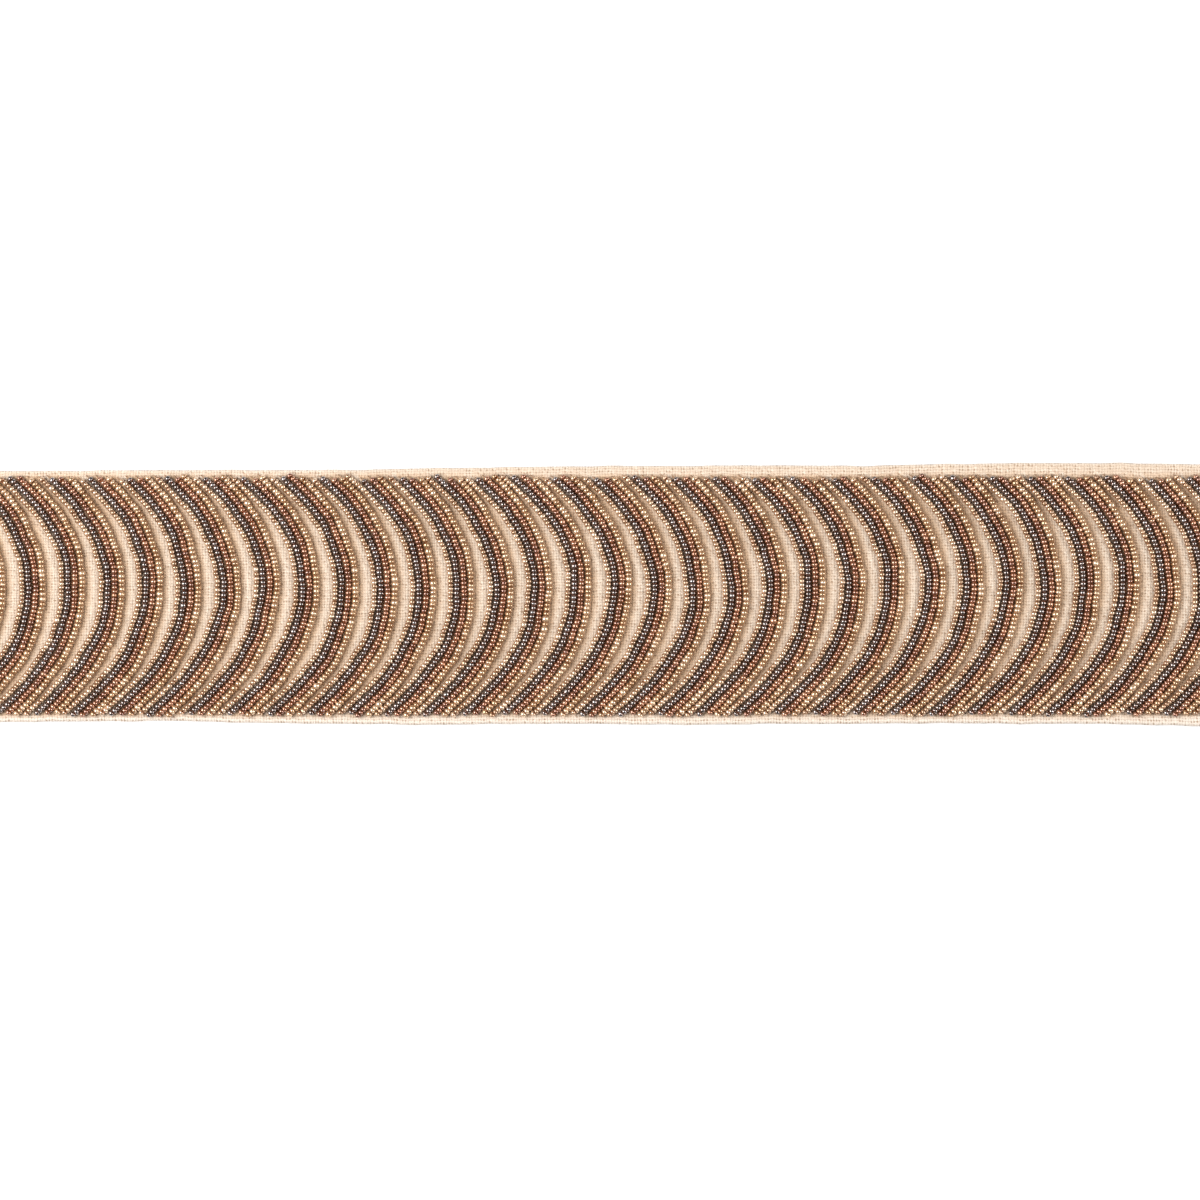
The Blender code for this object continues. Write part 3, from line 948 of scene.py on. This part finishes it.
def linen_material(group):
    material, tree, shader = new_material("cream linen")
    threads = add_node(tree, "ShaderNodeUVMap", uv_map="threads")
    place = add_node(tree, "ShaderNodeTexCoord")
    weave = use_group(tree, group, {"Threads": threads.outputs[0]}, {"Wander": 0.8})
    patches = add_node(tree, "ShaderNodeTexNoise", values={"Scale": 60.0, "Detail": 3.0, "Roughness": 0.6})
    fluff = add_node(tree, "ShaderNodeTexNoise", values={"Scale": 3200.0, "Detail": 2.0})
    tree.links.new(place.outputs["Object"], patches.inputs["Vector"])
    tree.links.new(place.outputs["Object"], fluff.inputs["Vector"])
    # Painted shadow: the cloth beside and under each band's outer row tinted towards warm brown
    rubbed = add_node(tree, "ShaderNodeAttribute", attribute_name="rubbed")
    yarn = mixed(tree, weave.outputs["Tone"], (0.64, 0.49, 0.37), (0.94, 0.83, 0.70))
    cast = mixed(tree, patches.outputs[0], yarn, (0.84, 0.70, 0.56))
    shadow_amount = calculate(tree, "MULTIPLY", rubbed.outputs["Fac"], 0.75)
    shadowed = mixed(tree, shadow_amount, cast, (0.70, 0.44, 0.24))
    # The lower hem mixed half way towards a paler cream
    faded = add_node(tree, "ShaderNodeAttribute", attribute_name="faded")
    paling_share = calculate(tree, "MULTIPLY", faded.outputs["Fac"], 0.5)
    paler = mixed(tree, paling_share, shadowed, (0.92, 0.86, 0.79))
    # Painted shade in the gaps of the weave, towards dark brown
    gap_shade = calculate(tree, "MULTIPLY", weave.outputs["Gap Shade"], 0.85)
    woven = mixed(tree, gap_shade, paler, (0.36, 0.22, 0.13))
    specks = calculate(tree, "MULTIPLY", calculate(tree, "SUBTRACT", fluff.outputs[0], 0.5), 2.4)
    colour = mixed(tree, clamped(tree, specks), woven, (0.50, 0.36, 0.26))
    tree.links.new(colour, shader.inputs["Base Color"])
    shader.inputs["Roughness"].default_value = 0.9
    shader.inputs["Specular IOR Level"].default_value = 0.2
    shader.inputs["Sheen Weight"].default_value = 0.25
    shader.inputs["Sheen Roughness"].default_value = 0.5
    fuzz = calculate(tree, "MULTIPLY", fluff.outputs[0], 0.25)
    height = calculate(tree, "ADD", weave.outputs["Height"], fuzz)
    add_bump(tree, shader, height, 1.0, 0.14 * MM)
    return material


def thread_material(name, dark, light):
    material, tree, shader = new_material(name)
    place = add_node(tree, "ShaderNodeTexCoord")
    twist = add_node(tree, "ShaderNodeTexNoise", values={"Scale": 2400.0, "Detail": 2.0})
    tree.links.new(place.outputs["Object"], twist.inputs["Vector"])
    tree.links.new(mixed(tree, twist.outputs[0], dark, light), shader.inputs["Base Color"])
    shader.inputs["Roughness"].default_value = 0.75
    shader.inputs["Sheen Weight"].default_value = 0.2
    add_bump(tree, shader, twist.outputs[0], 0.6, 0.05 * MM)
    return material


def floor_material():
    material, tree, shader = new_material("white studio paper")
    place = add_node(tree, "ShaderNodeTexCoord")
    grain = add_node(tree, "ShaderNodeTexNoise", values={"Scale": 40.0, "Detail": 3.0})
    tree.links.new(place.outputs["Object"], grain.inputs["Vector"])
    paper = mixed(tree, grain.outputs[0], (0.93, 0.93, 0.93), (0.95, 0.95, 0.95))
    tree.links.new(paper, shader.inputs["Base Color"])
    shader.inputs["Roughness"].default_value = 1.0
    shader.inputs["Specular IOR Level"].default_value = 0.0
    return material


# Build

runs = every_run()
all_bands = [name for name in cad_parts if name.startswith("beaded_band")]
finish = bead_finish_group()
for row in ROWS:
    beads = joined_beads([thread_beads(run) for run in runs if run.row is row])
    thing = make_beads(row, beads)
    thing.data.materials.append(bead_material(row, finish))
    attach(thing, "root")
    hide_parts(*all_bands)
    print(row.name, len(beads.length), "beads")

cloth, fibre_ends = make_cloth()
cloth.data.materials.append(linen_material(weave_group()))
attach(cloth, "root")
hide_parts("linen_tape")

strands = make_tubes("bead_strands", strand_paths(runs), 0.17 * MM)
strands.data.materials.append(thread_material("brown beading thread", (0.26, 0.12, 0.05), (0.42, 0.24, 0.12)))
couching = make_tubes("couching_threads", couching_paths(runs), 0.12 * MM)
couching.data.materials.append(thread_material("couching thread", (0.42, 0.32, 0.22), (0.70, 0.58, 0.44)))
stitches = make_tubes("hem_stitches", hem_stitch_paths(), 0.12 * MM)
stitches.data.materials.append(thread_material("hem thread", (0.60, 0.48, 0.34), (0.84, 0.72, 0.56)))
fray = make_tubes("frayed_threads", fray_paths(fibre_ends), 0.16 * MM)
fray.data.materials.append(thread_material("loose linen thread", (0.62, 0.48, 0.33), (0.86, 0.73, 0.56)))
for thing in (strands, couching, stitches, fray):
    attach(thing, "root")


# Studio


def make_floor():
    reach = np.linspace(-2.5, 2.5, 3)
    x, y = np.meshgrid(reach, reach, indexing="ij")
    points = np.stack([x, y, np.full_like(x, -0.1 * MM)], axis=-1).reshape(-1, 3)
    floor = build_mesh("studio_floor", points, [grid_faces(3, 3)[:, ::-1]])
    floor.data.materials.append(floor_material())


def soft_light(name, place, size, radiance):
    """A rectangular soft light aimed at the trim, of a given brightness for each area."""
    lamp = bpy.data.lights.new(name, "AREA")
    lamp.shape = "RECTANGLE"
    lamp.size, lamp.size_y = size
    lamp.energy = radiance * math.pi * size[0] * size[1]
    thing = bpy.data.objects.new(name, lamp)
    thing.location = place
    thing.rotation_euler = (-Vector(place)).to_track_quat("-Z", "Y").to_euler()
    thing.visible_camera = False
    bpy.context.scene.collection.objects.link(thing)


def make_studio():
    make_floor()
    soft_light("left_softbox", (-0.76, 0.06, 0.93), (0.9, 0.95), 7.8)
    soft_light("right_softbox", (1.00, 0.04, 0.70), (0.7, 0.70), 7.0)
    world = bpy.data.worlds.new("dim studio")
    world.use_nodes = True
    world.node_tree.nodes["Background"].inputs["Color"].default_value = (1.0, 0.98, 0.96, 1.0)
    world.node_tree.nodes["Background"].inputs["Strength"].default_value = 0.12
    bpy.context.scene.world = world
    bpy.context.scene.view_settings.view_transform = "Standard"


def make_camera():
    """Straight above the trim, as the photograph was taken: a long lens whose distance makes
    the picture as wide as the stretch of tape that the photograph shows."""
    lens, sensor, picture_width = 200.0, 36.0, 325.6 * MM
    camera = bpy.data.cameras.new("camera")
    camera.lens = lens
    camera.sensor_width = sensor
    camera.clip_start = 0.01
    thing = bpy.data.objects.new("camera", camera)
    thing.location = (0.0, -1.49 * MM, 2.5 * MM + picture_width * lens / sensor)
    bpy.context.scene.collection.objects.link(thing)
    bpy.context.scene.camera = thing


make_studio()
make_camera()
